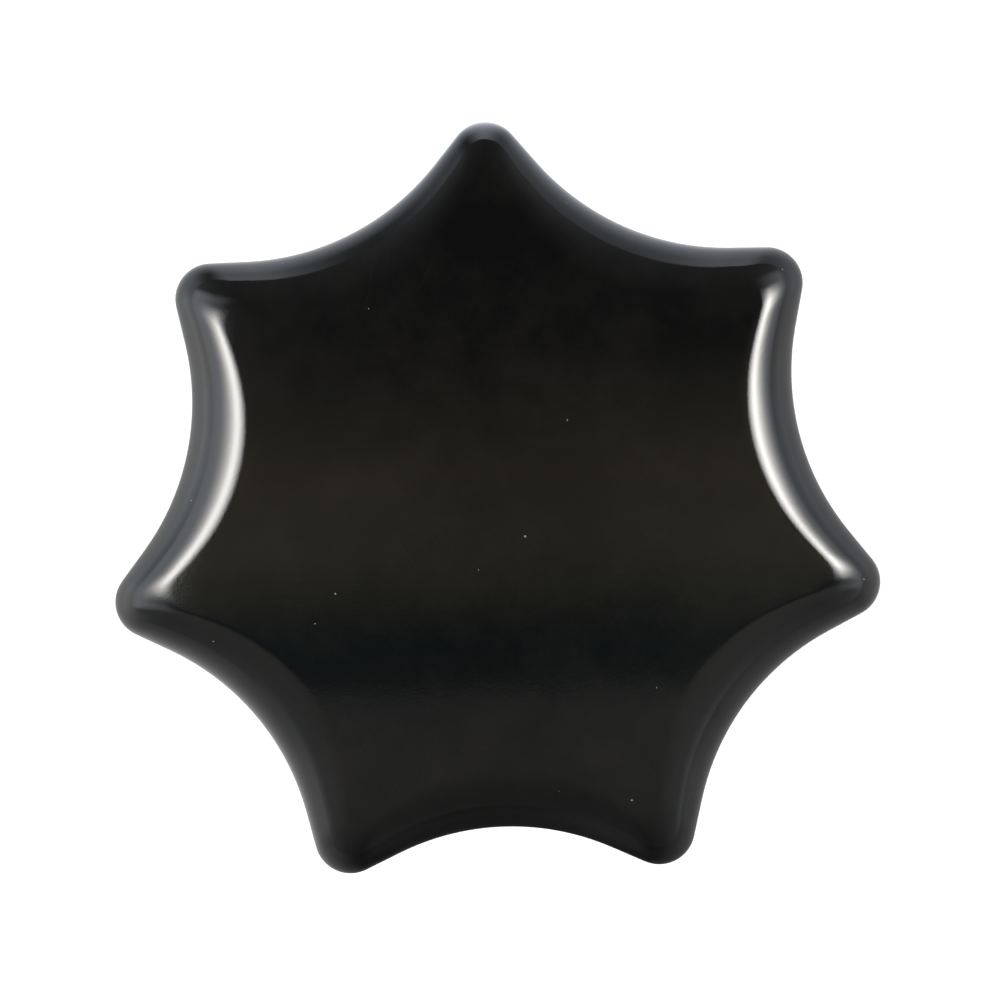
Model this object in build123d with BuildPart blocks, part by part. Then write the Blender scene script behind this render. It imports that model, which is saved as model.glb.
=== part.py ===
from build123d import *
import os
from math import acos, atan2, cos, hypot, pi, sin, sqrt, tan

os.makedirs("parts", exist_ok=True)

# Star outline, seen along the axis. Its curves are shares of the reach, so that the star keeps its form
point_count = 7
tip_reach = 31.5  # axis to the end of a point
tip_round = 0.095 * tip_reach
scallop_floor = 0.803 * tip_reach  # axis to the middle of a finger scallop
scallop_round = 0.635 * tip_reach

# Heights, stacked up from the seat, which is the end face of the hub
hub_length = 24.5
lower_edge_round = 2.5
wall_height = 6.8
crown_rise = 8.2  # from the top of the side wall to the crown

# Form of the head
dome_radius = 120.0
edge_width = 5.0  # plan width of the rounded top edge at a scallop
edge_fullness = 2.2  # 2 is an ellipse, more is squarer
ridge_round = 1.8  # plan radius of the soft ridge that runs in from a point
wall_draft = 1.0  # degrees

# Threaded insert, M12, with its bore at the crest of the thread
bore_radius = 5.1
bore_depth = 22.0
drill_angle = 118.0  # degrees, at the bottom of the bore
insert_wall = 2.9  # round the bore
end_wall = 2.0  # past the tip of the drilled bottom
collar_length = 2.0
collar_step = 0.5
groove_depth = 1.3
groove_width = 3.0
insert_chamfer = 0.6
knurl_count = 24
knurl_depth = 0.5

# Hub
hub_wall = 4.0  # round the insert
hub_draft = 2.0  # degrees
hub_root_round = 3.5
hub_edge_chamfer = 0.8

# Levels that follow from these. The mould parted where the lower edge turns into the side wall
parting_height = hub_length + lower_edge_round
rim_height = parting_height + wall_height
crown_height = rim_height + crown_rise

# The straight flank between a point and a scallop touches both of their arcs
half_pitch = pi / point_count
tip_centre = tip_reach - tip_round
scallop_centre = scallop_floor + scallop_round
centres_along = scallop_centre * cos(half_pitch) - tip_centre
centres_across = scallop_centre * sin(half_pitch)
centre_gap = hypot(centres_along, centres_across)
flank_turn = atan2(centres_across, centres_along) - acos((tip_round + scallop_round) / centre_gap)
flank_reach = tip_centre * cos(flank_turn) + tip_round


def flank_ends(inset, nose):
    # Angles, seen from the axis, between which the outline is a straight flank
    nose_centre = (flank_reach - inset - nose) / cos(flank_turn)
    nose_end = atan2(nose * sin(flank_turn), nose_centre + nose * cos(flank_turn))
    hollow = scallop_round + inset
    hollow_across = scallop_centre * sin(half_pitch) - hollow * sin(flank_turn)
    hollow_along = scallop_centre * cos(half_pitch) - hollow * cos(flank_turn)
    return nose_end, atan2(hollow_across, hollow_along)


def outline_reach(turn, inset, nose):
    # Distance from the axis to the star, drawn in by inset and with points of radius nose
    turn = abs((turn + half_pitch) % (2 * half_pitch) - half_pitch)
    nose_end, hollow_start = flank_ends(inset, nose)
    if turn < nose_end:
        nose_centre = (flank_reach - inset - nose) / cos(flank_turn)
        return nose_centre * cos(turn) + sqrt(nose**2 - (nose_centre * sin(turn)) ** 2)
    if turn < hollow_start:
        return (flank_reach - inset) / cos(flank_turn - turn)
    off_floor = half_pitch - turn
    hollow = scallop_round + inset
    return scallop_centre * cos(off_floor) - sqrt(hollow**2 - (scallop_centre * sin(off_floor)) ** 2)


def wall_reach(turn, height):
    # The wall leans in above the parting line, and below it the lower edge is a quarter round
    inset = (height - parting_height) * tan(wall_draft * pi / 180)
    if height < parting_height:
        inset = lower_edge_round - sqrt(lower_edge_round**2 - (parting_height - height) ** 2)
    return outline_reach(turn, inset, tip_round - inset)


def dome_height(reach):
    return crown_height - dome_radius + sqrt(dome_radius**2 - reach**2)


def top_height(turn, reach):
    # The dome, less the rounded edge, which is as wide as it is deep, so it narrows to the points
    rim = wall_reach(turn, rim_height)
    fall = dome_height(rim) - rim_height
    floor_fall = dome_height(wall_reach(half_pitch, rim_height)) - rim_height
    shelf = outline_reach(turn, edge_width * fall / floor_fall, ridge_round)
    share = max(0, reach - shelf) / (rim - shelf)
    return dome_height(reach) - fall * (1 - (1 - share**edge_fullness) ** (1 / edge_fullness))


def level_reach(turn, height):
    # Distance from the axis at which the top is this high, found by halving
    if height <= rim_height:
        return wall_reach(turn, height)
    inside, outside = 0, wall_reach(turn, rim_height)
    for _ in range(40):
        middle = (inside + outside) / 2
        if top_height(turn, middle) > height:
            inside = middle
        else:
            outside = middle
    return inside


# Angles at which an outline is drawn, closest together round the points
nose_steps = 2
flank_steps = 1
hollow_steps = 2
nose_end, hollow_start = flank_ends(0, tip_round)
half_turns = [nose_end * step / nose_steps for step in range(nose_steps)]
half_turns += [nose_end + (hollow_start - nose_end) * step / flank_steps for step in range(flank_steps)]
half_turns += [
    hollow_start + (half_pitch - hollow_start) * step / hollow_steps for step in range(hollow_steps)
]
lobe_turns = [-half_pitch] + [-turn for turn in half_turns[:0:-1]] + half_turns
first_point = pi / 2
star_turns = [
    first_point + 2 * half_pitch * point + turn for point in range(point_count) for turn in lobe_turns
]


def level_outline(height):
    # The closed line round the head at one height, run through by angle so that all levels match
    reaches = [level_reach(turn - first_point, height) for turn in star_turns]
    points = [(reach * cos(turn), reach * sin(turn)) for turn, reach in zip(star_turns, reaches)]
    full_circle = star_turns + [star_turns[0] + 2 * pi]
    with BuildSketch(Plane.XY.offset(height)) as level:
        with BuildLine():
            add(Edge.make_spline(points, periodic=True, parameters=full_circle))
        make_face()
    return level.sketch


# Levels of the top, closest together where it turns from the wall into the dome
edge_shares = [0.97, 0.86, 0.66, 0.35]
floor_shelf = scallop_floor - edge_width
floor_rim = wall_reach(half_pitch, rim_height)
edge_levels = [
    top_height(half_pitch, floor_shelf + (floor_rim - floor_shelf) * share) for share in edge_shares
]
top_outlines = [level_outline(height) for height in [rim_height] + edge_levels]

# Inside this circle the top is a plain dome
cap_height = dome_height(floor_shelf)
seam_direction = (cos(star_turns[0]), sin(star_turns[0]), 0)
with BuildSketch(Plane((0, 0, cap_height), x_dir=seam_direction)) as cap_circle:
    Circle(floor_shelf)

# Levels of the lower edge, from the parting line down to the underside
lower_shares = [0, 0.45, 0.8, 1]
lower_outlines = [level_outline(parting_height - lower_edge_round * share) for share in lower_shares]

# The insert's outside: a smooth collar, then two knurled bands with a groove between them
drill_tip = bore_radius / tan(drill_angle / 2 * pi / 180)
insert_radius = bore_radius + insert_wall
insert_length = bore_depth + drill_tip + end_wall
knurl_length = (insert_length - collar_length - groove_width) / 2
groove_start = collar_length + knurl_length
groove_end = groove_start + groove_width

with BuildPart() as insert_blank:
    with BuildSketch(Plane.XZ) as half_section:
        with BuildLine():
            Polyline(
                (0, 0),
                (insert_radius - collar_step, 0),
                (insert_radius - collar_step, collar_length),
                (insert_radius, collar_length),
                (insert_radius, groove_start),
                (insert_radius - groove_depth, groove_start),
                (insert_radius - groove_depth, groove_end),
                (insert_radius, groove_end),
                (insert_radius, insert_length - insert_chamfer),
                (insert_radius - insert_chamfer, insert_length),
                (0, insert_length),
                close=True,
            )
        make_face()
    revolve(axis=Axis.Z)
    notch = [(-knurl_depth, 0), (knurl_depth, -2 * knurl_depth), (knurl_depth, 2 * knurl_depth)]
    with BuildSketch(Plane.XY.offset(collar_length)) as notches:
        with PolarLocations(insert_radius, knurl_count):
            Polygon(notch, align=None)
    extrude(amount=insert_length - collar_length, mode=Mode.SUBTRACT)

with BuildPart() as threaded_insert:
    add(insert_blank.part)
    with BuildSketch(Plane.XZ) as bore_section:
        with BuildLine():
            Polyline(
                (0, 0),
                (bore_radius, 0),
                (bore_radius, bore_depth),
                (0, bore_depth + drill_tip),
                close=True,
            )
        make_face()
    revolve(axis=Axis.Z, mode=Mode.SUBTRACT)

# The body: star head, dome and hub, moulded in one piece round the insert
hub_radius = insert_radius + hub_wall
hub_lean = tan(hub_draft * pi / 180)
hub_root = hub_radius + hub_length * hub_lean
root_foot = (hub_root - hub_root_round * hub_lean, hub_length - hub_root_round)
root_top = (hub_root + hub_root_round, hub_length)
hub_flange = hub_root + 1.2 * hub_root_round  # lies inside the head, flush with its underside

with BuildPart() as knob_body:
    loft(top_outlines + [cap_circle.sketch])
    with BuildSketch(Plane.XZ) as dome_section:
        with BuildLine():
            Line((0, crown_height), (0, cap_height))
            Line((0, cap_height), (floor_shelf, cap_height))
            RadiusArc((floor_shelf, cap_height), (0, crown_height), -dome_radius)
        make_face()
    revolve(axis=Axis.Z)
    loft([level_outline(parting_height), level_outline(rim_height)], ruled=True)
    loft(lower_outlines, ruled=True)
    with BuildSketch(Plane.XZ) as hub_section:
        with BuildLine():
            Polyline(
                root_top,
                (hub_flange, hub_length),
                (hub_flange, parting_height),
                (0, parting_height),
                (0, 0),
                (hub_radius, 0),
                root_foot,
            )
            Spline(root_foot, root_top, tangents=[(hub_lean, 1), (1, 0)])
        make_face()
        chamfer(hub_section.vertices().sort_by_distance((hub_radius, 0))[0], hub_edge_chamfer)
    revolve(axis=Axis.Z)
    add(insert_blank.part, mode=Mode.SUBTRACT)

knob_body.part.label = "knob_body"
threaded_insert.part.label = "threaded_insert"
export_step(knob_body.part, "parts/knob_body.step")
export_step(threaded_insert.part, "parts/threaded_insert.step")
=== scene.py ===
from math import acos, atan2, cos, hypot, pi, radians, sin, sqrt, tan

import bpy
from mathutils import Matrix, Vector


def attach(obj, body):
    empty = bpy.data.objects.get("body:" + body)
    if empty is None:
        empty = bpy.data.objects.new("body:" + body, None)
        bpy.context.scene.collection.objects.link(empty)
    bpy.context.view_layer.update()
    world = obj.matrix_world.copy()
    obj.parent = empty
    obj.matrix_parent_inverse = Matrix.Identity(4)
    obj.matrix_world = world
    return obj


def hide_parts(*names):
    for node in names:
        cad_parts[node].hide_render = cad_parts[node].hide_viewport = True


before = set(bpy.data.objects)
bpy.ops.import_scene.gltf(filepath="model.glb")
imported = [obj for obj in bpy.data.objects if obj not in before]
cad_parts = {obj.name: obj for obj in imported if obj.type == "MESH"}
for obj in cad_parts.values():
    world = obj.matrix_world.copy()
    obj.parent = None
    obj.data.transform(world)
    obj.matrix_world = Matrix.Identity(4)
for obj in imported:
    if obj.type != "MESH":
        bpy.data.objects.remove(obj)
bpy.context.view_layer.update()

# Star head and hub, all lengths in metres, heights from the hub's seat
knobBody = {
    "pointCount": 7,
    "tipReach": 0.0315,
    "tipRound": 0.0029925,
    "scallopFloor": 0.0252945,
    "scallopRound": 0.0200025,
    "hubLength": 0.0245,
    "lowerEdgeRound": 0.0025,
    "wallHeight": 0.0068,
    "crownRise": 0.0082,
    "domeRadius": 0.120,
    "edgeWidth": 0.005,
    "edgeFullness": 2.2,
    "ridgeRound": 0.0018,
    "wallDraft": radians(1),
    "hubWall": 0.004,
    "hubDraft": radians(2),
    "hubRootRound": 0.0035,
    "hubEdgeChamfer": 0.0008,
    "partingStep": 0.00003,  # the lower mould half is this much smaller, which leaves a fine line
}

# Mesh steps of the body: along half a point, one flank and half a scallop, then ring by ring from the crown
bodySteps = {
    "nose": 9,
    "flank": 6,
    "hollow": 13,
    "dome": 34,
    "topEdge": 44,
    "wall": 8,
    "lowerEdge": 12,
    "underside": 10,
    "hubRoot": 24,
    "hub": 8,
    "seat": 4,
}

# Brass insert, M12 x 1.75
brassInsert = {
    "crestRadius": 0.0051,
    "rootRadius": 0.0060,
    "pitch": 0.00175,
    "crestStart": 0.82,  # where the crest begins, from 0 in the middle of the root to 1 in that of the crest
    "flankWidth": 0.62,  # how much of the same way the thread's flank takes
    "boreDepth": 0.022,
    "drillAngle": radians(118),
    "mouthChamfer": 0.0011,
    "wall": 0.0029,
    "endWall": 0.002,
    "collarLength": 0.002,
    "collarStep": 0.0005,
    "grooveDepth": 0.0013,
    "grooveWidth": 0.003,
    "endChamfer": 0.0006,
    "knurlCount": 24,
    "knurlDepth": 0.0005,
    "stepsPerKnurl": 8,
    "stepsPerPitch": 22,
    "seatSteps": 5,
    "runOut": 1.5,  # turns over which the thread fades at the bottom
}

sharpAngle = radians(35)  # steeper joints between faces stay sharp

# Values that follow from the sizes
halfPitch = pi / knobBody["pointCount"]
tipCentre = knobBody["tipReach"] - knobBody["tipRound"]
scallopCentre = knobBody["scallopFloor"] + knobBody["scallopRound"]
centresAlong = scallopCentre * cos(halfPitch) - tipCentre
centresAcross = scallopCentre * sin(halfPitch)
bothRounds = knobBody["tipRound"] + knobBody["scallopRound"]
flankTurn = atan2(centresAcross, centresAlong) - acos(bothRounds / hypot(centresAlong, centresAcross))
flankReach = tipCentre * cos(flankTurn) + knobBody["tipRound"]

partingHeight = knobBody["hubLength"] + knobBody["lowerEdgeRound"]
rimHeight = partingHeight + knobBody["wallHeight"]
crownHeight = rimHeight + knobBody["crownRise"]
insertRadius = brassInsert["crestRadius"] + brassInsert["wall"]
drillTip = brassInsert["crestRadius"] / tan(brassInsert["drillAngle"] / 2)
insertLength = brassInsert["boreDepth"] + drillTip + brassInsert["endWall"]
collarRadius = insertRadius - brassInsert["collarStep"]
hubRadius = insertRadius + knobBody["hubWall"]
hubRoot = hubRadius + knobBody["hubLength"] * tan(knobBody["hubDraft"])
rootBend = pi / 2 - knobBody["hubDraft"]
rootStart = hubRoot + knobBody["hubRootRound"] * tan(rootBend / 2)


def flankEnds(inset, nose):
    # angles between which the star's outline runs straight
    noseCentre = (flankReach - inset - nose) / cos(flankTurn)
    noseEnd = atan2(nose * sin(flankTurn), noseCentre + nose * cos(flankTurn))
    hollow = knobBody["scallopRound"] + inset
    hollowAcross = scallopCentre * sin(halfPitch) - hollow * sin(flankTurn)
    hollowAlong = scallopCentre * cos(halfPitch) - hollow * cos(flankTurn)
    return noseEnd, atan2(hollowAcross, hollowAlong)


def outlineReach(turn, inset, nose):
    # axis to the star's outline, drawn in by inset and with points of radius nose
    turn = abs((turn + halfPitch) % (2 * halfPitch) - halfPitch)
    noseEnd, hollowStart = flankEnds(inset, nose)
    if turn < noseEnd:
        noseCentre = (flankReach - inset - nose) / cos(flankTurn)
        return noseCentre * cos(turn) + sqrt(nose**2 - (noseCentre * sin(turn)) ** 2)
    if turn < hollowStart:
        return (flankReach - inset) / cos(flankTurn - turn)
    offFloor = halfPitch - turn
    hollow = knobBody["scallopRound"] + inset
    return scallopCentre * cos(offFloor) - sqrt(hollow**2 - (scallopCentre * sin(offFloor)) ** 2)


def wallReach(turn, inset):
    return outlineReach(turn, inset, knobBody["tipRound"] - inset)


def domeHeight(reach):
    return crownHeight - knobBody["domeRadius"] + sqrt(knobBody["domeRadius"] ** 2 - reach**2)


def steps(count):
    return [(step + 1) / count for step in range(count)]


def starTurns():
    # angles of the mesh's columns, from the middle of a point, closest together round the nose
    noseEnd, hollowStart = flankEnds(0, knobBody["tipRound"])
    half = []
    for start, end, count in (
        (0, noseEnd, bodySteps["nose"]),
        (noseEnd, hollowStart, bodySteps["flank"]),
        (hollowStart, halfPitch, bodySteps["hollow"]),
    ):
        half += [start + (end - start) * step / count for step in range(count)]
    lobe = [-halfPitch] + [-turn for turn in half[:0:-1]] + half
    return [2 * halfPitch * point + turn for point in range(knobBody["pointCount"]) for turn in lobe]


def ringMesh(name, angles, rings, topPole, bottomPole):
    # closed mesh from rings of equal count, each a list of (reach, height), between two poles
    verts = [(0, 0, topPole)]
    for ring in rings:
        verts += [(reach * cos(a), reach * sin(a), height) for a, (reach, height) in zip(angles, ring)]
    verts.append((0, 0, bottomPole))
    count, last = len(angles), len(verts) - 1
    faces = [(0, 1 + i, 1 + (i + 1) % count) for i in range(count)]
    for row in range(len(rings) - 1):
        upper, lower = 1 + row * count, 1 + (row + 1) * count
        for i in range(count):
            j = (i + 1) % count
            faces.append((upper + i, lower + i, lower + j, upper + j))
    lower = 1 + (len(rings) - 1) * count
    faces += [(last, lower + (i + 1) % count, lower + i) for i in range(count)]
    mesh = bpy.data.meshes.new(name)
    mesh.from_pydata(verts, [], faces)
    mesh.validate()
    mesh.shade_smooth()
    mesh.set_sharp_from_angle(angle=sharpAngle)
    piece = bpy.data.objects.new(name, mesh)
    bpy.context.scene.collection.objects.link(piece)
    return piece


def headRings(turns):
    rings = []
    rimInset = knobBody["wallHeight"] * tan(knobBody["wallDraft"])
    rim = [wallReach(turn, rimInset) for turn in turns]
    # the edge is as wide as it is deep, so it narrows from a scallop to a point
    steepness = knobBody["edgeWidth"] / (domeHeight(wallReach(halfPitch, rimInset)) - rimHeight)
    widths = [steepness * (domeHeight(reach) - rimHeight) for reach in rim]
    shelf = [outlineReach(turn, width, knobBody["ridgeRound"]) for turn, width in zip(turns, widths)]
    # dome, out to the line where the edge starts to fall
    for share in steps(bodySteps["dome"]):
        rings.append([(reach * share, domeHeight(reach * share)) for reach in shelf])
    # rounded top edge
    power = knobBody["edgeFullness"]
    for bend in steps(bodySteps["topEdge"]):
        share = sin(bend * pi / 2)
        drop = 1 - max(0, 1 - share**power) ** (1 / power)
        ring = []
        for inner, outer in zip(shelf, rim):
            reach = inner + (outer - inner) * share
            ring.append((reach, domeHeight(reach) - (domeHeight(outer) - rimHeight) * drop))
        rings.append(ring)
    # side wall, down to the parting line
    for share in steps(bodySteps["wall"]):
        inset = rimInset * (1 - share)
        height = rimHeight - knobBody["wallHeight"] * share
        rings.append([(wallReach(turn, inset), height) for turn in turns])
    # lower edge, which starts with the fine step of the parting line
    lowerRound = knobBody["lowerEdgeRound"] - knobBody["partingStep"]
    for bend in steps(bodySteps["lowerEdge"]):
        inset = knobBody["partingStep"] + lowerRound * (1 - cos(bend * pi / 2))
        height = partingHeight - knobBody["partingStep"] - lowerRound * sin(bend * pi / 2)
        rings.append([(wallReach(turn, inset), height) for turn in turns])
    # underside, in to the circle where the hub's root starts
    edge = [reach for reach, height in rings[-1]]
    for share in steps(bodySteps["underside"]):
        rings.append([(reach + (rootStart - reach) * share, knobBody["hubLength"]) for reach in edge])
    return rings


def hubProfile():
    # root round, drafted wall, chamfered foot, seat and the pocket for the insert
    profile = []
    for share in steps(bodySteps["hubRoot"]):
        bend = rootBend * share
        profile.append((
            rootStart - knobBody["hubRootRound"] * sin(bend),
            knobBody["hubLength"] - knobBody["hubRootRound"] * (1 - cos(bend)),
        ))
    upperReach, upperHeight = profile[-1]
    chamferSize = knobBody["hubEdgeChamfer"]
    lowerHeight = chamferSize * cos(knobBody["hubDraft"])
    lowerReach = hubRadius + chamferSize * sin(knobBody["hubDraft"])
    for share in steps(bodySteps["hub"]):
        profile.append((
            upperReach + (lowerReach - upperReach) * share,
            upperHeight + (lowerHeight - upperHeight) * share,
        ))
    seatEdge = hubRadius - chamferSize
    profile.append((seatEdge, 0))
    profile += [(seatEdge + (collarRadius - seatEdge) * share, 0) for share in steps(bodySteps["seat"])]
    profile.append((collarRadius, brassInsert["collarLength"]))
    profile.append((insertRadius, brassInsert["collarLength"]))
    profile.append((insertRadius, insertLength))
    return profile


def makeBody():
    turns = starTurns()
    angles = [pi / 2 + turn for turn in turns]
    rings = headRings(turns) + [[spot] * len(turns) for spot in hubProfile()]
    piece = ringMesh("starKnobBody", angles, rings, crownHeight, insertLength)
    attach(piece, "root")
    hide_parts("knob_body")
    return piece


def threadReach(height, angle):
    # internal thread, cut outward from the crest wall, right-handed
    pitch = brassInsert["pitch"]
    phase = (height / pitch - angle / (2 * pi)) % 1
    offRoot = abs(phase - 0.5) * 2  # 0 in the middle of the root, 1 in the middle of the crest
    depth = brassInsert["rootRadius"] - brassInsert["crestRadius"]
    slope = min(1, max(0, (brassInsert["crestStart"] - offRoot) / brassInsert["flankWidth"]))
    fade = (brassInsert["boreDepth"] - height) / (brassInsert["runOut"] * pitch)
    cut = depth * slope * min(1, max(0, fade))
    cone = brassInsert["crestRadius"] + max(0, brassInsert["mouthChamfer"] - height)
    return max(brassInsert["crestRadius"] + cut, cone)


def knurlReach(angle, radius):
    share = angle / (2 * pi) * brassInsert["knurlCount"] % 1
    offNotch = abs(share - 0.5) * 2 * pi * insertRadius / brassInsert["knurlCount"]
    return radius - max(0, brassInsert["knurlDepth"] - offNotch)


def insertRings(angles):
    spec = brassInsert
    knurlLength = (insertLength - spec["collarLength"] - spec["grooveWidth"]) / 2
    grooveStart = spec["collarLength"] + knurlLength
    grooveEnd = grooveStart + spec["grooveWidth"]
    endRadius = insertRadius - spec["endChamfer"]
    grooveRadius = insertRadius - spec["grooveDepth"]

    def plain(radius, height):
        return [(radius, height)] * len(angles)

    def knurled(height):
        return [(knurlReach(angle, insertRadius), height) for angle in angles]

    rings = [plain(endRadius * 0.5, insertLength), plain(endRadius, insertLength)]
    rings += [knurled(insertLength - spec["endChamfer"]), knurled(grooveEnd)]
    rings += [plain(grooveRadius, grooveEnd), plain(grooveRadius, grooveStart)]
    rings += [knurled(grooveStart), knurled(spec["collarLength"])]
    rings += [plain(collarRadius, spec["collarLength"]), plain(collarRadius, 0)]
    mouth = spec["crestRadius"] + spec["mouthChamfer"]
    rings += [plain(collarRadius + (mouth - collarRadius) * share, 0) for share in steps(spec["seatSteps"])]
    rise = spec["pitch"] / spec["stepsPerPitch"]
    for step in range(1, int(spec["boreDepth"] / rise)):
        height = step * rise
        rings.append([(threadReach(height, angle), height) for angle in angles])
    rings.append(plain(spec["crestRadius"], spec["boreDepth"]))
    rings.append(plain(spec["crestRadius"] * 0.5, spec["boreDepth"] + drillTip * 0.5))
    return rings


def makeInsert():
    count = brassInsert["knurlCount"] * brassInsert["stepsPerKnurl"]
    angles = [2 * pi * step / count for step in range(count)]
    innerTip = brassInsert["boreDepth"] + drillTip
    piece = ringMesh("threadedInsert", angles, insertRings(angles), insertLength, innerTip)
    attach(piece, "root")
    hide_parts("threaded_insert")
    return piece


def nodeMaterial(name):
    material = bpy.data.materials.new(name)
    material.use_nodes = True
    tree = material.node_tree
    tree.nodes.clear()
    return material, tree


def addNode(tree, kind, **values):
    node = tree.nodes.new(kind)
    for name, value in values.items():
        setattr(node, name, value)
    return node


def splitAxes(tree, coords, names):
    axes = addNode(tree, "ShaderNodeSeparateXYZ")
    tree.links.new(coords, axes.inputs["Vector"])
    return [axes.outputs[name] for name in names]


def mapRange(tree, source, low, high, toLow=0.0, toHigh=1.0):
    node = addNode(tree, "ShaderNodeMapRange")
    ends = (("Value", source), ("From Min", low), ("From Max", high), ("To Min", toLow), ("To Max", toHigh))
    for name, value in ends:
        if isinstance(value, bpy.types.NodeSocket):
            tree.links.new(value, node.inputs[name])
        else:
            node.inputs[name].default_value = value
    return node.outputs["Result"]


def noise(tree, coords, scale, detail=2.0, roughness=0.5):
    node = addNode(tree, "ShaderNodeTexNoise")
    tree.links.new(coords, node.inputs["Vector"])
    node.inputs["Scale"].default_value = scale
    node.inputs["Detail"].default_value = detail
    node.inputs["Roughness"].default_value = roughness
    return node.outputs["Fac"]


def mathNode(tree, operation, first, second=None):
    node = addNode(tree, "ShaderNodeMath", operation=operation)
    for socket, value in zip(node.inputs, (first, second)):
        if isinstance(value, (int, float)):
            socket.default_value = value
        elif value is not None:
            tree.links.new(value, socket)
    return node.outputs["Value"]


def times(tree, first, second):
    return mathNode(tree, "MULTIPLY", first, second)


def plus(tree, first, second):
    return mathNode(tree, "ADD", first, second)


def offAxis(tree, x, y):
    return mathNode(tree, "SQRT", plus(tree, times(tree, x, x), times(tree, y, y)))


def mixColor(tree, factor, first, second):
    node = addNode(tree, "ShaderNodeMix", data_type="RGBA")
    for index, value in ((0, factor), (6, first), (7, second)):
        if isinstance(value, bpy.types.NodeSocket):
            tree.links.new(value, node.inputs[index])
        else:
            node.inputs[index].default_value = value
    return node.outputs[2]


def colorRamp(tree, source, bands):
    # bands are (place, colour) from 0 to 1
    ramp = addNode(tree, "ShaderNodeValToRGB")
    tree.links.new(source, ramp.inputs["Fac"])
    stops = ramp.color_ramp.elements
    stops[0].position, stops[0].color = bands[0][0], (*bands[0][1], 1)
    stops[-1].position, stops[-1].color = bands[-1][0], (*bands[-1][1], 1)
    for place, color in bands[1:-1]:
        stops.new(place).color = (*color, 1)
    return ramp


def makeBump(tree, relief, strength, distance):
    bump = addNode(tree, "ShaderNodeBump")
    bump.inputs["Strength"].default_value = strength
    bump.inputs["Distance"].default_value = distance
    tree.links.new(relief, bump.inputs["Height"])
    return bump.outputs["Normal"]


def outputSum(tree, first, second):
    both = addNode(tree, "ShaderNodeAddShader")
    tree.links.new(first, both.inputs[0])
    tree.links.new(second, both.inputs[1])
    output = addNode(tree, "ShaderNodeOutputMaterial")
    tree.links.new(both.outputs["Shader"], output.inputs["Surface"])


def makeDustGroup():
    # scattered specks: a mask that is 1 on a speck, and sparse
    group = bpy.data.node_groups.new("dustSpecks", "ShaderNodeTree")
    group.interface.new_socket("Coords", in_out="INPUT", socket_type="NodeSocketVector")
    for name, value in (("Cells", 160.0), ("Share", 0.1), ("Size", 0.12)):
        socket = group.interface.new_socket(name, in_out="INPUT", socket_type="NodeSocketFloat")
        socket.default_value = value
    group.interface.new_socket("Mask", in_out="OUTPUT", socket_type="NodeSocketFloat")
    source = addNode(group, "NodeGroupInput")
    target = addNode(group, "NodeGroupOutput")
    cells = addNode(group, "ShaderNodeTexVoronoi", feature="F1")
    group.links.new(source.outputs["Coords"], cells.inputs["Vector"])
    group.links.new(source.outputs["Cells"], cells.inputs["Scale"])
    pick = addNode(group, "ShaderNodeSeparateColor")
    group.links.new(cells.outputs["Color"], pick.inputs["Color"])
    chosen = mathNode(group, "LESS_THAN", pick.outputs["Red"], source.outputs["Share"])
    radius = times(group, pick.outputs["Green"], source.outputs["Size"])
    near = mathNode(group, "LESS_THAN", cells.outputs["Distance"], radius)
    group.links.new(times(group, chosen, near), target.inputs["Mask"])
    return group


rubbing = {
    "slants": (0.35, 0.62, 2.45),
    "stretch": 0.03,  # share of the fineness that is left along a line
    "lineStart": 0.76,  # noise level at which a line begins to show
    "lineFull": 0.84,
    "bendScale": 70.0,
    "bend": 0.004,
    "patchScale": 55.0,  # the lines lie in a few patches only
    "patchStart": 0.5,
    "patchFull": 0.68,
}


def makeScratchGroup():
    # fine rubbed lines: noise stretched along several slants, bent a little, in a few places only
    group = bpy.data.node_groups.new("rubbedLines", "ShaderNodeTree")
    group.interface.new_socket("Coords", in_out="INPUT", socket_type="NodeSocketVector")
    socket = group.interface.new_socket("Fineness", in_out="INPUT", socket_type="NodeSocketFloat")
    socket.default_value = 400.0
    group.interface.new_socket("Mask", in_out="OUTPUT", socket_type="NodeSocketFloat")
    source = addNode(group, "NodeGroupInput")
    target = addNode(group, "NodeGroupOutput")
    bend = addNode(group, "ShaderNodeTexNoise")
    group.links.new(source.outputs["Coords"], bend.inputs["Vector"])
    bend.inputs["Scale"].default_value = rubbing["bendScale"]
    bend.inputs["Detail"].default_value = 0.0
    shift = addNode(group, "ShaderNodeVectorMath", operation="MULTIPLY_ADD")
    group.links.new(bend.outputs["Color"], shift.inputs[0])
    shift.inputs[1].default_value = (rubbing["bend"], rubbing["bend"], rubbing["bend"])
    group.links.new(source.outputs["Coords"], shift.inputs[2])
    total = None
    for slant in rubbing["slants"]:
        turn = addNode(group, "ShaderNodeVectorRotate", rotation_type="Z_AXIS")
        group.links.new(shift.outputs["Vector"], turn.inputs["Vector"])
        turn.inputs["Angle"].default_value = slant
        stretch = addNode(group, "ShaderNodeVectorMath", operation="MULTIPLY")
        group.links.new(turn.outputs["Vector"], stretch.inputs[0])
        stretch.inputs[1].default_value = (1, rubbing["stretch"], rubbing["stretch"])
        lines = addNode(group, "ShaderNodeTexNoise")
        group.links.new(stretch.outputs["Vector"], lines.inputs["Vector"])
        group.links.new(source.outputs["Fineness"], lines.inputs["Scale"])
        lines.inputs["Detail"].default_value = 0.0
        sharp = mapRange(group, lines.outputs["Fac"], rubbing["lineStart"], rubbing["lineFull"])
        total = sharp if total is None else mathNode(group, "MAXIMUM", total, sharp)
    patches = noise(group, source.outputs["Coords"], rubbing["patchScale"])
    patches = mapRange(group, patches, rubbing["patchStart"], rubbing["patchFull"])
    group.links.new(times(group, total, patches), target.inputs["Mask"])
    return group


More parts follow.
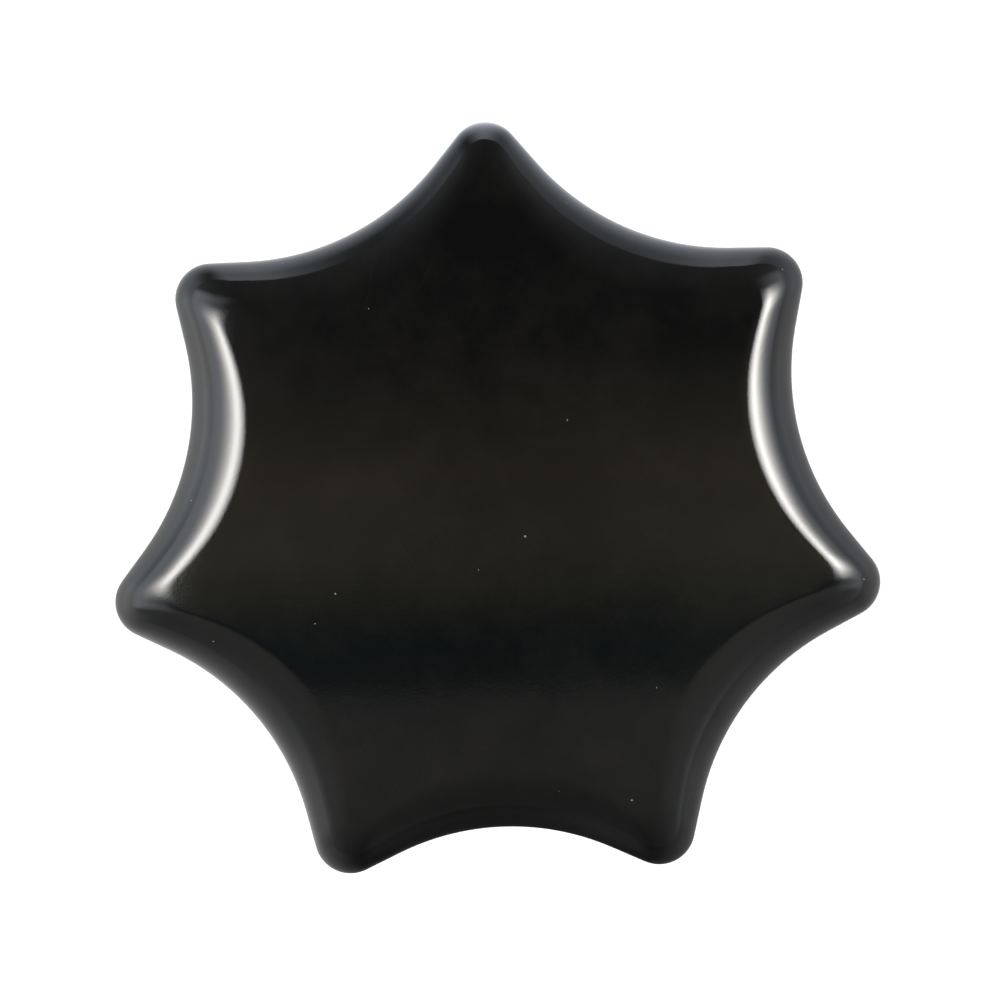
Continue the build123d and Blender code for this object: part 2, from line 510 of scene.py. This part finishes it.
def placeGroup(tree, group, coords, values):
    node = addNode(tree, "ShaderNodeGroup", node_tree=group)
    tree.links.new(coords, node.inputs["Coords"])
    for name, value in values.items():
        node.inputs[name].default_value = value
    return node.outputs["Mask"]


# A noise is (scale, detail, roughness), a span is the noise levels that make 0 and 1
blackMoulding = {
    "deepColor": (0.0006, 0.0006, 0.0006, 1),
    "paleColor": (0.0030, 0.0028, 0.0026, 1),
    "dustColor": (0.12, 0.115, 0.11, 1),
    "rubColor": (0.0036, 0.0034, 0.0032, 1),
    "flowNoise": (110.0, 8.0, 0.7),  # cloudy flow marks of the moulding powder
    "flowSpan": (0.42, 0.66),
    "rubs": {"Fineness": 5200.0},
    "dust": {"Cells": 520.0, "Share": 0.5, "Size": 0.048},
    "hazeNoise": (60.0, 3.0, 0.55),
    "hazeSpan": (0.3, 0.75),
    "polish": 0.07,
    "haze": 0.11,
    "rubRoughness": 0.03,
    "dustRoughness": 0.3,
    "peelNoise": (1300.0, 2.0, 0.5),  # faint orange peel
    "grainNoise": (5200.0, 1.0, 0.5),
    "grainHeight": 0.5,
    "dustHeight": 2.0,
    "bumpStrength": 0.07,
    "bumpDistance": 0.00004,
    "ior": 1.52,
}


def paintBody(piece, dustGroup, scratchGroup):
    look = blackMoulding
    material, tree = nodeMaterial("blackPhenolic")
    coords = addNode(tree, "ShaderNodeTexCoord").outputs["Object"]
    shader = addNode(tree, "ShaderNodeBsdfPrincipled")
    output = addNode(tree, "ShaderNodeOutputMaterial")
    tree.links.new(shader.outputs["BSDF"], output.inputs["Surface"])

    flow = mapRange(tree, noise(tree, coords, *look["flowNoise"]), *look["flowSpan"])
    rubs = placeGroup(tree, scratchGroup, coords, look["rubs"])
    dust = placeGroup(tree, dustGroup, coords, look["dust"])
    color = mixColor(tree, flow, look["deepColor"], look["paleColor"])
    color = mixColor(tree, rubs, color, look["rubColor"])
    color = mixColor(tree, dust, color, look["dustColor"])
    tree.links.new(color, shader.inputs["Base Color"])

    haze = noise(tree, coords, *look["hazeNoise"])
    rough = mapRange(tree, haze, *look["hazeSpan"], look["polish"], look["haze"])
    rough = plus(tree, rough, times(tree, rubs, look["rubRoughness"]))
    rough = plus(tree, rough, times(tree, dust, look["dustRoughness"]))
    tree.links.new(rough, shader.inputs["Roughness"])

    peel = noise(tree, coords, *look["peelNoise"])
    grain = noise(tree, coords, *look["grainNoise"])
    relief = plus(tree, peel, times(tree, grain, look["grainHeight"]))
    relief = plus(tree, relief, times(tree, dust, look["dustHeight"]))
    normal = makeBump(tree, relief, look["bumpStrength"], look["bumpDistance"])
    tree.links.new(normal, shader.inputs["Normal"])

    shader.inputs["IOR"].default_value = look["ior"]
    piece.data.materials.append(material)


brassFinish = {
    "cleanColor": (0.72, 0.50, 0.20, 1),
    "dullColor": (0.42, 0.28, 0.12, 1),
    "dustColor": (0.45, 0.42, 0.36, 1),
    "tarnishNoise": (260.0, 4.0, 0.6),
    "tarnishSpan": (0.42, 0.66),
    "rubs": {"Fineness": 1400.0},
    "dust": {"Cells": 500.0, "Share": 0.08, "Size": 0.10},
    "turned": 0.22,
    "dull": 0.42,
    "rubRoughness": 0.2,
    "ringSpacing": 0.00012,  # rings that the facing tool left round the axis
    "rubHeight": -3.0,
    "bumpStrength": 0.25,
    "bumpDistance": 0.00001,
}


def paintInsert(piece, dustGroup, scratchGroup):
    look = brassFinish
    material, tree = nodeMaterial("turnedBrass")
    coords = addNode(tree, "ShaderNodeTexCoord").outputs["Object"]
    shader = addNode(tree, "ShaderNodeBsdfPrincipled")
    output = addNode(tree, "ShaderNodeOutputMaterial")
    tree.links.new(shader.outputs["BSDF"], output.inputs["Surface"])

    tarnish = mapRange(tree, noise(tree, coords, *look["tarnishNoise"]), *look["tarnishSpan"])
    dust = placeGroup(tree, dustGroup, coords, look["dust"])
    color = mixColor(tree, tarnish, look["cleanColor"], look["dullColor"])
    color = mixColor(tree, dust, color, look["dustColor"])
    tree.links.new(color, shader.inputs["Base Color"])
    shader.inputs["Metallic"].default_value = 1.0

    rubs = placeGroup(tree, scratchGroup, coords, look["rubs"])
    rough = mapRange(tree, tarnish, 0.0, 1.0, look["turned"], look["dull"])
    rough = plus(tree, rough, times(tree, rubs, look["rubRoughness"]))
    tree.links.new(rough, shader.inputs["Roughness"])

    x, y = splitAxes(tree, coords, "XY")
    rings = mathNode(tree, "SINE", times(tree, offAxis(tree, x, y), 2 * pi / look["ringSpacing"]))
    relief = plus(tree, rings, times(tree, rubs, look["rubHeight"]))
    normal = makeBump(tree, relief, look["bumpStrength"], look["bumpDistance"])
    tree.links.new(normal, shader.inputs["Normal"])
    piece.data.materials.append(material)


paperFloor = {
    "radius": 3.0,
    "corners": 96,
    "gap": 0.0001,  # below the seat
    "color": (0.62, 0.62, 0.62, 1),
    "lift": 0.47,  # what a camera ray sees on top of the lit floor
    "shineNear": 0.040,  # painted reflection, the light and shade that a mirror ray sees there, from near the knob to far from it
    "shineFar": 0.120,
    # painted light and painted shade in the reflection, darkest toward the front
    "shines": (
        # azimuth, near and far level
        (-180, 0.47, 1.60),
        (-140, 0.66, 0.60),
        (-88, 0.03, 0.10),
        (-37, 0.30, 0.42),
        (-12, 0.50, 0.70),
        (15, 0.38, 0.95),
        (66, 0.85, 0.55),
        (91, 2.40, 1.70),
        (117, 0.85, 0.22),
        (142, 0.75, 1.00),
        (168, 0.45, 1.70),
        (180, 0.47, 1.60),
    ),
    "shineTint": (0.90, 0.97, 1.08, 1),  # of the sheen behind the knob
    "tintSpan": (0, 0.05),
}


def makeFloor():
    spec = paperFloor
    count, radius = spec["corners"], spec["radius"]
    angles = [2 * pi * step / count for step in range(count)]
    mesh = bpy.data.meshes.new("floor")
    mesh.from_pydata([(radius * cos(a), radius * sin(a), 0) for a in angles], [], [tuple(range(count))])
    floor = bpy.data.objects.new("floor", mesh)
    bpy.context.scene.collection.objects.link(floor)
    floor.location.z = -spec["gap"]

    material, tree = nodeMaterial("paperWhite")
    path = addNode(tree, "ShaderNodeLightPath")
    mirrored = path.outputs["Is Glossy Ray"]
    matte = addNode(tree, "ShaderNodeBsdfDiffuse")
    # mirror rays see no lit floor here, only the painted reflection set below
    tree.links.new(mixColor(tree, mirrored, spec["color"], (0, 0, 0, 1)), matte.inputs["Color"])
    seen = mathNode(tree, "MAXIMUM", path.outputs["Is Camera Ray"], path.outputs["Is Transmission Ray"])
    lift = times(tree, seen, spec["lift"])

    x, y = splitAxes(tree, addNode(tree, "ShaderNodeTexCoord").outputs["Object"], "XY")
    azimuth = mapRange(tree, mathNode(tree, "ARCTAN2", y, x), -pi, pi)
    bands = [(turn / 360 + 0.5, (near, far, 0)) for turn, near, far in spec["shines"]]
    ramp = colorRamp(tree, azimuth, bands)
    ramp.color_ramp.interpolation = "EASE"
    levels = addNode(tree, "ShaderNodeSeparateColor")
    tree.links.new(ramp.outputs["Color"], levels.inputs["Color"])
    near, far = levels.outputs["Red"], levels.outputs["Green"]
    sheen = mapRange(tree, offAxis(tree, x, y), spec["shineNear"], spec["shineFar"], near, far)

    # painted reflection: a glow that mirror rays see by direction and distance, cooler behind the knob, not
    # a lamp; camera and transmission rays see the even lift
    glow = addNode(tree, "ShaderNodeEmission")
    tree.links.new(mathNode(tree, "MAXIMUM", lift, times(tree, sheen, mirrored)), glow.inputs["Strength"])
    cool = times(tree, mapRange(tree, y, *spec["tintSpan"]), mirrored)
    tree.links.new(mixColor(tree, cool, (1, 1, 1, 1), spec["shineTint"]), glow.inputs["Color"])
    outputSum(tree, matte.outputs["BSDF"], glow.outputs["Emission"])
    mesh.materials.append(material)


# Two glowing panels for the polished edge to mirror, each with a lamp beside it for the matte parts
softboxes = {
    "distance": 0.55,
    "panels": {
        "softboxLeft": {
            "azimuth": 169,
            "lowest": -0.6,  # elevations of the foot, the bright band and the top
            "brightest": 49,
            "highest": 64,
            "length": 0.70,
            "strength": 19.5,
            "gathering": 3.7,  # how closely the light gathers round the bright band
            "spill": 1.7,  # faint glow below the band
            "footShare": 0.6,  # what is left of the glow where it meets the sheen of the floor
        },
        "softboxRight": {
            "azimuth": 12.5,
            "lowest": -0.6,
            "brightest": 36,
            "highest": 50,
            "length": 0.78,
            "strength": 23.0,
            "gathering": 2.7,
            "spill": 0.95,
            "footShare": 0.15,
        },
    },
    # spans on a panel, whose sides are at 0.5 and -0.5
    "bandSides": (0.25, 0.05),
    "bandFade": 1.3,
    "bandHeight": 0.04,  # half of the part that is at full strength
    "spillSides": (0.5, 0.36),
    "spillTop": (0.5, -0.10),
    "footSpan": (-0.5, -0.30),
    "tintSpan": (2.0, 5.0),  # levels between which the foot's colour turns into the band's
    "bandColor": (1.0, 0.985, 0.95, 1),
    "footColor": (0.92, 0.97, 1.06, 1),
    "lampPower": 3.4,
    "lampSize": 0.30,
}


def makeLamp(name, side):
    spec = softboxes
    lamp = bpy.data.lights.new(name, "AREA")
    lamp.energy = spec["lampPower"]
    lamp.size = spec["lampSize"]
    lamp.color = spec["bandColor"][:3]
    light = bpy.data.objects.new(name, lamp)
    away = Vector((cos(side), sin(side), 1)).normalized()
    facing = away.to_track_quat("Z", "Y").to_matrix().to_4x4()
    light.matrix_world = Matrix.Translation(away * spec["distance"]) @ facing
    light.visible_glossy = False
    bpy.context.scene.collection.objects.link(light)


def makePanel(name, panel):
    # a tall panel that faces the knob: bright band near its top, faint glow down to its foot
    spec = softboxes
    distance = spec["distance"]
    side = radians(panel["azimuth"])
    middle = radians((panel["lowest"] + panel["highest"]) / 2)
    away = Vector((cos(side) * cos(middle), sin(side) * cos(middle), sin(middle)))
    centre = away * distance + Vector((0, 0, rimHeight))
    width = 2 * distance * tan(radians(panel["highest"] - panel["lowest"]) / 2)
    across = Vector((-sin(side), cos(side), 0))
    turned = Matrix((across, away.cross(across), away)).transposed().to_4x4()
    mesh = bpy.data.meshes.new(name)
    corners = [(-0.5, -0.5, 0), (0.5, -0.5, 0), (0.5, 0.5, 0), (-0.5, 0.5, 0)]
    mesh.from_pydata(corners, [], [(0, 1, 2, 3)])
    box = bpy.data.objects.new(name, mesh)
    stretched = Matrix.Diagonal((panel["length"], width, 1, 1))
    box.matrix_world = Matrix.Translation(centre) @ turned @ stretched
    box.visible_camera = False
    box.visible_diffuse = False
    box.visible_shadow = False
    bpy.context.scene.collection.objects.link(box)

    material, tree = nodeMaterial(name + "Cloth")
    x, y = splitAxes(tree, addNode(tree, "ShaderNodeTexCoord").outputs["Object"], "XY")
    offMiddle = mathNode(tree, "ABSOLUTE", x)
    peak = tan(radians(panel["brightest"]) - middle) * distance / width
    rise = mapRange(tree, y, -0.5, peak - spec["bandHeight"])
    fall = mapRange(tree, y, 0.5, peak + spec["bandHeight"])
    band = times(tree, mathNode(tree, "POWER", rise, panel["gathering"]), panel["strength"])
    along = mapRange(tree, offMiddle, *spec["bandSides"])
    band = times(tree, band, mathNode(tree, "POWER", along, spec["bandFade"]))
    foot = times(tree, mapRange(tree, offMiddle, *spec["spillSides"]), panel["spill"])
    foot = times(tree, foot, mapRange(tree, y, *spec["spillTop"]))
    foot = times(tree, foot, mapRange(tree, y, *spec["footSpan"], panel["footShare"], 1.0))
    level = times(tree, plus(tree, band, foot), fall)
    glow = addNode(tree, "ShaderNodeEmission")
    tint = mixColor(tree, mapRange(tree, level, *spec["tintSpan"]), spec["footColor"], spec["bandColor"])
    tree.links.new(tint, glow.inputs["Color"])
    tree.links.new(level, glow.inputs["Strength"])
    # what lies behind shows through, so the panel has no dark border
    clear = addNode(tree, "ShaderNodeBsdfTransparent")
    outputSum(tree, clear.outputs["BSDF"], glow.outputs["Emission"])
    mesh.materials.append(material)


# The studio round the knob: dim overhead, pale low down at the horizon, and white to the camera
surround = {
    # colours from the front edge over the top to the back, as the polished dome mirrors them
    "bands": (
        (0.00, (0.15, 0.15, 0.15)),
        (0.33, (0.29, 0.285, 0.275)),
        (0.37, (0.26, 0.26, 0.255)),
        (0.38, (0.09, 0.105, 0.11)),
        (0.41, (0.07, 0.10, 0.11)),
        (0.47, (0.30, 0.28, 0.20)),
        (0.53, (0.30, 0.26, 0.185)),
        (0.58, (0.16, 0.155, 0.13)),
        (0.62, (0.07, 0.07, 0.07)),
        (1.00, (0.15, 0.15, 0.15)),
    ),
    "sideGain": 2.2,  # how much paler it gets toward both sides
    "glows": (
        # colour, span of heights and span toward the sides, on the unit sphere of directions
        ((0.48, 0.50, 0.52, 1), (0.85, 0.15), (0.40, 0.85)),
        ((0.90, 0.92, 0.95, 1), (0.30, 0.0), (0.7, 0.97)),
    ),
}


def makeWorld():
    world = bpy.data.worlds.new("studioSurround")
    world.use_nodes = True
    tree = world.node_tree
    tree.nodes.clear()
    x, y, z = splitAxes(tree, addNode(tree, "ShaderNodeTexCoord").outputs["Generated"], "XYZ")
    offMiddle = mathNode(tree, "ABSOLUTE", x)
    bands = colorRamp(tree, mapRange(tree, y, -1.0, 1.0), surround["bands"]).outputs["Color"]
    gain = addNode(tree, "ShaderNodeVectorMath", operation="SCALE")
    tree.links.new(bands, gain.inputs["Vector"])
    tree.links.new(mapRange(tree, offMiddle, 0.0, 1.0, 1.0, surround["sideGain"]), gain.inputs["Scale"])
    color = gain.outputs["Vector"]
    for glow, heights, sides in surround["glows"]:
        share = times(tree, mapRange(tree, z, *heights), mapRange(tree, offMiddle, *sides))
        color = mixColor(tree, share, color, glow)
    path = addNode(tree, "ShaderNodeLightPath")
    color = mixColor(tree, path.outputs["Is Camera Ray"], color, (1, 1, 1, 1))
    background = addNode(tree, "ShaderNodeBackground")
    tree.links.new(color, background.inputs["Color"])
    output = addNode(tree, "ShaderNodeOutputWorld")
    tree.links.new(background.outputs["Background"], output.inputs["Surface"])
    bpy.context.scene.world = world


view = {
    "distance": 0.90,  # camera to the plane of the rim
    "pictureWidth": 1000,
    "pointPixels": 393.0,  # reach of a point at the rim's height
    "centrePixels": (495.0, 512.2),
    "roll": radians(1.68),
    "sensor": 36.0,
    "clipEnd": 20,
}


def makeCamera():
    data = bpy.data.cameras.new("topCamera")
    data.sensor_width = view["sensor"]
    metresPerPixel = knobBody["tipReach"] / view["pointPixels"]
    data.lens = view["sensor"] * view["distance"] / (view["pictureWidth"] * metresPerPixel)
    data.clip_end = view["clipEnd"]
    camera = bpy.data.objects.new("topCamera", data)
    bpy.context.scene.collection.objects.link(camera)
    middle = (view["pictureWidth"] - 1) / 2
    right = (middle - view["centrePixels"][0]) * metresPerPixel
    up = (view["centrePixels"][1] - middle) * metresPerPixel
    turned = Matrix.Rotation(-view["roll"], 4, "Z")
    spot = turned @ Vector((right, up, 0))
    camera.matrix_world = Matrix.Translation((spot.x, spot.y, rimHeight + view["distance"])) @ turned
    bpy.context.scene.camera = camera


dustGroup = makeDustGroup()
scratchGroup = makeScratchGroup()
body = makeBody()
paintBody(body, dustGroup, scratchGroup)
print("body", len(body.data.polygons), "faces")
insert = makeInsert()
paintInsert(insert, dustGroup, scratchGroup)
print("insert", len(insert.data.polygons), "faces")
makeFloor()
for panelName, panel in softboxes["panels"].items():
    makePanel(panelName, panel)
    makeLamp(panelName + "Lamp", radians(panel["azimuth"]))
makeWorld()
print("floor, softboxes and surround")
makeCamera()
bpy.context.scene.view_settings.view_transform = "Standard"
print("camera")
